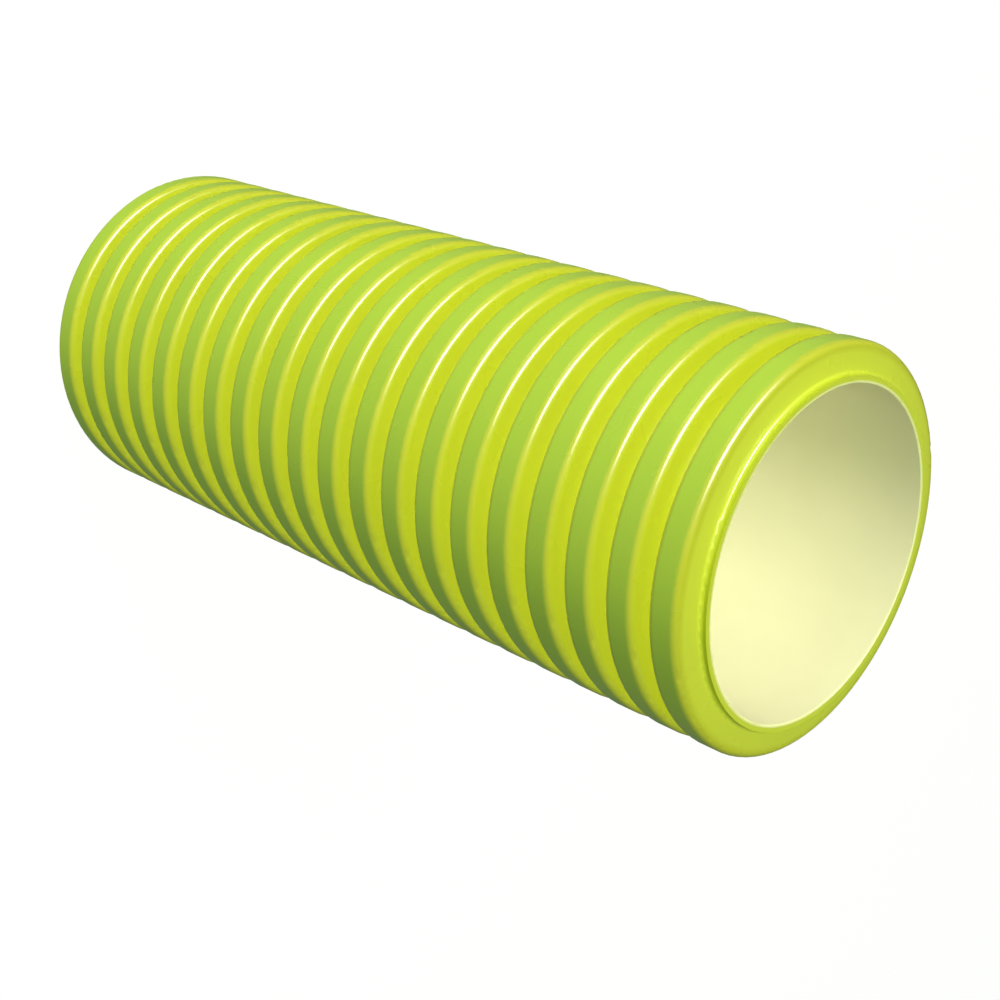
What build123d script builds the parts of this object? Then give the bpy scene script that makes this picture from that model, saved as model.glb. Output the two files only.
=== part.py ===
from build123d import *
from math import cos, radians, tan
import os

# Twin-wall ventilation duct: a ribbed outer wall on a smooth inner liner.
# It stands on one cut end, with its axis on Z and the origin at the middle of that end.

# Driving dimensions in millimetres: with these the duct measures 75 over its ribs
bore_diameter = 61.0
liner_thickness = 0.5
wall_thickness = 0.85
rib_height = 5.65
rib_count = 20
rib_pitch = 9.23
rib_width = 5.6
rib_draft = 7.0  # degrees that each side of a rib leans, so that it leaves its mould
crest_round = 1.3
valley_round = 0.75
bore_edge_round = 0.2

# Sizes that follow
bore_radius = bore_diameter / 2
liner_radius = bore_radius + liner_thickness
valley_radius = liner_radius + wall_thickness
crest_radius = valley_radius + rib_height
duct_length = rib_count * rib_pitch
side_angle = 90 - rib_draft
rib_depth = crest_radius - liner_radius
rib_foot_width = rib_width + 2 * rib_depth * tan(radians(rib_draft))
cavity_depth = rib_depth - wall_thickness
cavity_foot_width = rib_foot_width - 2 * wall_thickness / cos(radians(rib_draft))
cavity_round = crest_round - wall_thickness

# A valley has a round in each corner, made smaller where its floor is too narrow for both
valley_floor_width = rib_pitch - rib_width - 2 * rib_height * tan(radians(rib_draft))
widest_valley_round = 0.45 * valley_floor_width / tan(radians(side_angle / 2))
valley_corner_round = min(valley_round, widest_valley_round)

# Middle of each rib on the section, which has its X out from the axis and its Y up the duct
rib_middles = [(liner_radius, (rib + 0.5) * rib_pitch) for rib in range(rib_count)]


def is_valley_corner(vertex):
    """True where a rib's side meets the valley, and not at the duct's cut ends."""
    slack = wall_thickness / 20
    from_end = min(vertex.Y, duct_length - vertex.Y)
    return abs(vertex.X - valley_radius) < slack and from_end > slack


# One rib's outline, with its foot on the liner and its crest rounded
with BuildSketch() as rib_outline:
    Trapezoid(rib_foot_width, rib_depth, side_angle, rotation=-90, align=(Align.CENTER, Align.MIN))
    fillet(rib_outline.vertices().group_by(Axis.X)[-1], radius=crest_round)

# Each rib is hollow down to the liner, with a wall as thick as the valley's
with BuildSketch() as rib_cavity:
    Trapezoid(cavity_foot_width, cavity_depth, side_angle, rotation=-90, align=(Align.CENTER, Align.MIN))
    fillet(rib_cavity.vertices().group_by(Axis.X)[-1], radius=cavity_round)

# Outer wall: one corrugated skin, cut square through the middle of a valley at both ends
with BuildPart() as corrugated_wall:
    with BuildSketch(Plane.XZ) as wall_section:
        with Locations((liner_radius, 0)):
            Rectangle(wall_thickness, duct_length, align=(Align.MIN, Align.MIN))
        with Locations(rib_middles):
            add(rib_outline.sketch)
        fillet(wall_section.vertices().filter_by(is_valley_corner), radius=valley_corner_round)
        with Locations(rib_middles):
            add(rib_cavity.sketch, mode=Mode.SUBTRACT)
    revolve(axis=Axis.Z)
corrugated_wall.part.label = "corrugated_wall"

# Inner liner: a smooth tube welded to the outer wall along every valley
with BuildPart() as inner_liner:
    with BuildSketch(Plane.XZ):
        with Locations((bore_radius, 0)):
            Rectangle(liner_thickness, duct_length, align=(Align.MIN, Align.MIN))
    revolve(axis=Axis.Z)
    bore_rims = inner_liner.edges().filter_by(GeomType.CIRCLE).sort_by(SortBy.RADIUS)[:2]
    fillet(bore_rims, radius=bore_edge_round)
inner_liner.part.label = "inner_liner"

os.makedirs("parts", exist_ok=True)
export_step(corrugated_wall.part, "parts/corrugated_wall.step")
export_step(inner_liner.part, "parts/inner_liner.step")
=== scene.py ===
import math

import bpy
from mathutils import Matrix, Vector


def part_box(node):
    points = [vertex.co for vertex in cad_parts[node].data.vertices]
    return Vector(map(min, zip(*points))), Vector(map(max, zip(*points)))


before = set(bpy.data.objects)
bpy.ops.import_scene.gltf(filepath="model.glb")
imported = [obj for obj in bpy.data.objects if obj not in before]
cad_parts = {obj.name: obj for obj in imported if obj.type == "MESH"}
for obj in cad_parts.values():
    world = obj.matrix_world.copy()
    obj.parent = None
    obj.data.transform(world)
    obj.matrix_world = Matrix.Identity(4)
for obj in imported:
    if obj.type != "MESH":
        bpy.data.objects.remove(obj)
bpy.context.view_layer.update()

# The duct stands on one cut end, with its axis on Z, and the photo shows its upper end
wall_low, wall_high = (Vector(corner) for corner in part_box("corrugated_wall"))
CREST_RADIUS = (wall_high.x - wall_low.x) / 2
SHOWN_END = Vector((0.0, 0.0, wall_high.z))
DUCT_MIDDLE = Vector((0.0, 0.0, wall_high.z / 2))

# The photo's camera, worked out from the duct's rings: it looks down on the standing duct,
# and is rolled until the duct's axis points to the right and slightly down in the picture
PHOTO_SIZE_PX = 1000
FOCAL_LENGTH_PX = 1642.0
DOWNWARD_TILT = math.radians(40.54)
ROLL = math.radians(111.49)
SHOWN_END_PX = (822.84, 557.34)
SHOWN_END_DEPTH = 7.4717 * CREST_RADIUS
SENSOR_WIDTH_MM = 36.0
NEAREST_SEEN = 0.01

# The studio: lengths in metres, angles in degrees round the duct and above the floor, powers in watts
LIGHT_DISTANCE = 3.0
SOFTBOX_SIZE = 1.2
WHITE, WARM, COOL = (1.0, 1.0, 1.0), (1.0, 0.95, 0.86), (0.81, 1.0, 0.79)
SOFTBOXES = (
    # name, angle round the duct, angle above the floor, power, colour
    ("high_key", -128.8, 60.0, 48.0, (1.0, 1.0, 0.95)),
    ("low_key", -135.8, 2.0, 62.0, WARM),
    ("front_key", -88.8, 2.0, 30.5, COOL),
    ("side_key", -168.8, 2.0, 9.0, COOL),
    ("fill_light", 16.2, 55.0, 18.0, COOL),
)
GLINT_ANGLES = (-137.0, 50.5)
GLINT_WIDTH, GLINT_HEIGHT = 2.2, 0.8
GLINT_POWER = 287.0
SURROUND_COLOUR = (0.88, 1.0, 0.86)
SURROUND_STRENGTH = 0.16
FLOOR_REACH = 8.0
FLOOR_GLOW = 0.86

# Base colours, each list running from skin that faces out from the axis, at 0, to skin that faces along it, at 1;
# they paint light and shade by which way the skin faces
# Painted shade: the rib sides and valley floors in the gaps between ribs are darker than at the cut ends
PAINTED_SHADE_GAP_COLOURS = ((0.0, (0.385, 0.46, 0.010)), (1.0, (0.60, 0.64, 0.026)))
# Painted light: the faces at the two cut ends are lighter
PAINTED_LIGHT_CUT_END_COLOURS = ((0.0, (0.385, 0.46, 0.010)), (1.0, (0.70, 0.79, 0.046)))
# Painted light and shade: greener where the outer bands face out, yellower where they face along the axis, darker
# green on the rounded edges between
PAINTED_LIGHT_BAND_COLOURS = (
    (0.0, (0.38, 0.548, 0.05)),
    (0.15, (0.385, 0.52, 0.048)),
    (0.35, (0.435, 0.515, 0.040)),
    (0.55, (0.50, 0.535, 0.035)),
    (0.75, (0.53, 0.565, 0.030)),
    (0.90, (0.55, 0.60, 0.026)),
    (1.0, (0.60, 0.65, 0.024)),
)
# The liner's own cream, with a painted highlight on its cut lip where the skin faces along the axis
LINER_COLOURS_WITH_PAINTED_LIP_HIGHLIGHT = ((0.0, (0.66, 0.64, 0.42)), (0.5, (0.82, 0.85, 0.42)), (1.0, (0.92, 0.95, 0.38)))

# Where one of the wall's colours gives way to the next, in metres below the crests and from a cut end
BAND_FADES_OUT, BAND_IS_FULL = 0.0022, 0.0010
CUT_END_FADES_OUT, CUT_END_IS_FULL = 0.0046, 0.0026
RELIEF_DEPTH = 0.0001


def add_camera():
    """The photo's view: the middle of the shown end falls on its own pixel, at its own depth."""
    forward = Vector((0.0, math.cos(DOWNWARD_TILT), -math.sin(DOWNWARD_TILT)))
    level_right = Vector((1.0, 0.0, 0.0))
    level_up = level_right.cross(forward)
    right = math.cos(ROLL) * level_right + math.sin(ROLL) * level_up
    up = right.cross(forward)
    across = (SHOWN_END_PX[0] - PHOTO_SIZE_PX / 2) / FOCAL_LENGTH_PX
    down = (SHOWN_END_PX[1] - PHOTO_SIZE_PX / 2) / FOCAL_LENGTH_PX
    ray = forward + across * right - down * up
    place = SHOWN_END - SHOWN_END_DEPTH * ray

    data = bpy.data.cameras.new("photo_camera")
    data.sensor_width = SENSOR_WIDTH_MM
    data.lens = FOCAL_LENGTH_PX / PHOTO_SIZE_PX * SENSOR_WIDTH_MM
    data.clip_start = NEAREST_SEEN
    camera = bpy.data.objects.new("photo_camera", data)
    camera.matrix_world = Matrix.Translation(place) @ Matrix((right, up, -forward)).transposed().to_4x4()
    bpy.context.scene.collection.objects.link(camera)
    bpy.context.scene.camera = camera


def direction(azimuth, elevation):
    """The way to a point of the studio, by its angles in degrees round the duct and above the floor."""
    around, above = math.radians(azimuth), math.radians(elevation)
    return Vector((math.cos(above) * math.cos(around), math.cos(above) * math.sin(around), math.sin(above)))


def add_softbox(name, towards, width, height, power, colour):
    """An area light that stands off in one direction and faces the duct. The photo shows no shadow, so it casts none."""
    data = bpy.data.lights.new(name, "AREA")
    data.shape = "RECTANGLE"
    data.size, data.size_y = width, height
    data.energy = power
    data.color = colour
    data.use_shadow = False
    light = bpy.data.objects.new(name, data)
    light.location = DUCT_MIDDLE + LIGHT_DISTANCE * towards
    light.rotation_euler = towards.to_track_quat("Z", "Y").to_euler()
    light.visible_camera = False
    bpy.context.scene.collection.objects.link(light)
    return light


def add_lights():
    """Five matt softboxes round the duct, and one wide, low box that is seen only as the glint on its edges."""
    for name, azimuth, elevation, power, colour in SOFTBOXES:
        softbox = add_softbox(name, direction(azimuth, elevation), SOFTBOX_SIZE, SOFTBOX_SIZE, power, colour)
        softbox.visible_glossy = False
    glint = add_softbox("glint_softbox", direction(*GLINT_ANGLES), GLINT_WIDTH, GLINT_HEIGHT, GLINT_POWER, WHITE)
    glint.visible_diffuse = False


def add_surround():
    """A world that lights the duct softly, and shows as a white backdrop beyond the floor."""
    world = bpy.data.worlds.new("studio_surround")
    world.use_nodes = True
    nodes, links = world.node_tree.nodes, world.node_tree.links
    glow = nodes["Background"]
    glow.inputs["Color"].default_value = (*SURROUND_COLOUR, 1.0)
    glow.inputs["Strength"].default_value = SURROUND_STRENGTH
    backdrop = nodes.new("ShaderNodeBackground")
    backdrop.inputs["Color"].default_value = (*WHITE, 1.0)
    ray = nodes.new("ShaderNodeLightPath")
    seen = nodes.new("ShaderNodeMixShader")
    links.new(ray.outputs["Is Camera Ray"], seen.inputs["Fac"])
    links.new(glow.outputs["Background"], seen.inputs[1])
    links.new(backdrop.outputs["Background"], seen.inputs[2])
    links.new(seen.outputs["Shader"], nodes["World Output"].inputs["Surface"])
    bpy.context.scene.world = world


def new_material(name):
    """A material with one Principled shader: the material, its node tree and the shader."""
    material = bpy.data.materials.new(name)
    material.use_nodes = True
    return material, material.node_tree, material.node_tree.nodes["Principled BSDF"]


def add_floor():
    """A plain pale floor, wide enough to fill the picture behind the duct."""
    mesh = bpy.data.meshes.new("studio_floor")
    corners = [(across * FLOOR_REACH, along * FLOOR_REACH, 0.0)
               for across, along in ((-1, -1), (1, -1), (1, 1), (-1, 1))]
    mesh.from_pydata(corners, [], [(0, 1, 2, 3)])
    floor = bpy.data.objects.new("studio_floor", mesh)
    bpy.context.scene.collection.objects.link(floor)
    floor.visible_diffuse = False
    floor.visible_glossy = False
    material, _, shader = new_material("pale_floor")
    shader.inputs["Base Color"].default_value = (0.2, 0.2, 0.2, 1.0)
    shader.inputs["Specular IOR Level"].default_value = 0.0
    shader.inputs["Roughness"].default_value = 0.9
    shader.inputs["Emission Color"].default_value = (*WHITE, 1.0)
    shader.inputs["Emission Strength"].default_value = FLOOR_GLOW
    mesh.materials.append(material)


def noise_range(tree, point, scale, detail, low, high):
    """A cloudy texture in the duct's own space, brought to a range of values."""
    noise = tree.nodes.new("ShaderNodeTexNoise")
    noise.inputs["Scale"].default_value = scale
    noise.inputs["Detail"].default_value = detail
    tree.links.new(point, noise.inputs["Vector"])
    to_range = tree.nodes.new("ShaderNodeMapRange")
    to_range.inputs["From Min"].default_value = 0.3
    to_range.inputs["From Max"].default_value = 0.7
    to_range.inputs["To Min"].default_value = low
    to_range.inputs["To Max"].default_value = high
    to_range.clamp = False
    tree.links.new(noise.outputs["Fac"], to_range.inputs["Value"])
    return to_range.outputs["Result"]


def span(tree, value, low, high):
    """0 where a value is at its low limit, 1 at its high limit, and straight between them."""
    node = tree.nodes.new("ShaderNodeMapRange")
    node.inputs["From Min"].default_value = low
    node.inputs["From Max"].default_value = high
    tree.links.new(value, node.inputs["Value"])
    return node.outputs["Result"]


def from_axis(tree, point):
    """How far a point is from the duct's axis."""
    across = tree.nodes.new("ShaderNodeVectorMath")
    across.operation = "MULTIPLY"
    across.inputs[1].default_value = (1.0, 1.0, 0.0)
    tree.links.new(point, across.inputs[0])
    distance = tree.nodes.new("ShaderNodeVectorMath")
    distance.operation = "LENGTH"
    tree.links.new(across.outputs["Vector"], distance.inputs[0])
    return distance.outputs["Value"]


def from_level(tree, vector, level):
    """How far a vector's Z lies from a level, above or below it."""
    split = tree.nodes.new("ShaderNodeSeparateXYZ")
    tree.links.new(vector, split.inputs["Vector"])
    rise = tree.nodes.new("ShaderNodeMath")
    rise.operation = "SUBTRACT"
    rise.inputs[1].default_value = level
    tree.links.new(split.outputs["Z"], rise.inputs[0])
    distance = tree.nodes.new("ShaderNodeMath")
    distance.operation = "ABSOLUTE"
    tree.links.new(rise.outputs["Value"], distance.inputs[0])
    return distance.outputs["Value"]


def blend(tree, amount, stops):
    """A colour that runs through a list of stops, each a place from 0 to 1 and its colour."""
    node = tree.nodes.new("ShaderNodeValToRGB")
    elements = node.color_ramp.elements
    elements[0].position, elements[1].position = stops[0][0], stops[-1][0]
    elements[0].color, elements[1].color = (*stops[0][1], 1.0), (*stops[-1][1], 1.0)
    for position, colour in stops[1:-1]:
        elements.new(position).color = (*colour, 1.0)
    tree.links.new(amount, node.inputs["Fac"])
    return node.outputs["Color"]


def mix_colours(tree, amount, first, second):
    """The first colour where the amount is 0, and the second where it is 1."""
    node = tree.nodes.new("ShaderNodeMix")
    node.data_type = "RGBA"
    colour_inputs = [socket for socket in node.inputs if socket.type == "RGBA"]
    tree.links.new(amount, node.inputs["Factor"])
    tree.links.new(first, colour_inputs[0])
    tree.links.new(second, colour_inputs[1])
    return next(socket for socket in node.outputs if socket.type == "RGBA")


def add_colour(tree, shader, colour, brightness):
    """The shader's base colour, made lighter and darker by a texture."""
    shade = tree.nodes.new("ShaderNodeHueSaturation")
    tree.links.new(colour, shade.inputs["Color"])
    tree.links.new(brightness, shade.inputs["Value"])
    tree.links.new(shade.outputs["Color"], shader.inputs["Base Color"])


def add_relief(tree, shader, height, strength):
    """Fine relief of the surface, from a texture that gives its height."""
    relief = tree.nodes.new("ShaderNodeBump")
    relief.inputs["Strength"].default_value = strength
    relief.inputs["Distance"].default_value = RELIEF_DEPTH
    tree.links.new(height, relief.inputs["Height"])
    tree.links.new(relief.outputs["Normal"], shader.inputs["Normal"])


def wall_plastic():
    """Satin lime polyethylene with painted light and shade in its colour: greener on the ribs' outer bands and
    yellower on their sides, darker on the bands' rounded edges and in the gaps between ribs, lighter near the cut
    ends.
    """
    material, tree, shader = new_material("lime_wall_plastic_with_painted_light")
    place = tree.nodes.new("ShaderNodeTexCoord")
    point = place.outputs["Object"]
    facing_along = from_level(tree, place.outputs["Normal"], 0.0)

    # How near a point is to the ribs' outer bands, and how near to a cut end
    outer_band = span(tree, from_axis(tree, point), CREST_RADIUS - BAND_FADES_OUT, CREST_RADIUS - BAND_IS_FULL)
    cut_end = span(tree, from_level(tree, point, DUCT_MIDDLE.z),
                   DUCT_MIDDLE.z - CUT_END_FADES_OUT, DUCT_MIDDLE.z - CUT_END_IS_FULL)
    # Painted shade in the gaps between the bands, and painted light at the cut ends
    painted_shade_and_light_between_bands = mix_colours(tree, cut_end, blend(tree, facing_along, PAINTED_SHADE_GAP_COLOURS),
                                blend(tree, facing_along, PAINTED_LIGHT_CUT_END_COLOURS))
    # Painted light and shade on the outer bands and their rounded edges
    skin = mix_colours(tree, outer_band, painted_shade_and_light_between_bands, blend(tree, facing_along, PAINTED_LIGHT_BAND_COLOURS))

    # Faint mottling of the colour and the gloss, and the fine grain of the mould
    add_colour(tree, shader, skin, noise_range(tree, point, scale=70.0, detail=2.0, low=0.985, high=1.015))
    gloss = noise_range(tree, point, scale=120.0, detail=1.0, low=0.26, high=0.31)
    tree.links.new(gloss, shader.inputs["Roughness"])
    add_relief(tree, shader, noise_range(tree, point, scale=1400.0, detail=1.0, low=0.0, high=1.0), strength=0.03)
    return material


def liner_plastic():
    """Pale cream polyethylene, satin, with a painted highlight on its cut lip and faint flow marks from the
    extruder.
    """
    material, tree, shader = new_material("cream_liner_plastic_with_painted_lip_highlight")
    place = tree.nodes.new("ShaderNodeTexCoord")
    point = place.outputs["Object"]
    # Painted highlight: lighter colour on the cut lip, which faces along the axis
    skin = blend(tree, from_level(tree, place.outputs["Normal"], 0.0), LINER_COLOURS_WITH_PAINTED_LIP_HIGHLIGHT)
    add_colour(tree, shader, skin, noise_range(tree, point, scale=60.0, detail=2.0, low=0.98, high=1.02))
    gloss = noise_range(tree, point, scale=150.0, detail=2.0, low=0.36, high=0.46)
    tree.links.new(gloss, shader.inputs["Roughness"])
    shader.inputs["Specular IOR Level"].default_value = 0.3

    # Flow marks run along the duct, so their space is drawn out along the axis
    stretch = tree.nodes.new("ShaderNodeMapping")
    stretch.inputs["Scale"].default_value = (1.0, 1.0, 0.25)
    tree.links.new(point, stretch.inputs["Vector"])
    flow_marks = noise_range(tree, stretch.outputs["Vector"], scale=260.0, detail=1.0, low=0.0, high=1.0)
    add_relief(tree, shader, flow_marks, strength=0.12)
    return material


def dress(node, material):
    """Gives a node of the model its own plastic."""
    for material_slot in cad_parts[node].material_slots:
        material_slot.material = material


bpy.context.scene.view_settings.view_transform = "Standard"
add_camera()
add_lights()
add_surround()
add_floor()
dress("corrugated_wall", wall_plastic())
dress("inner_liner", liner_plastic())
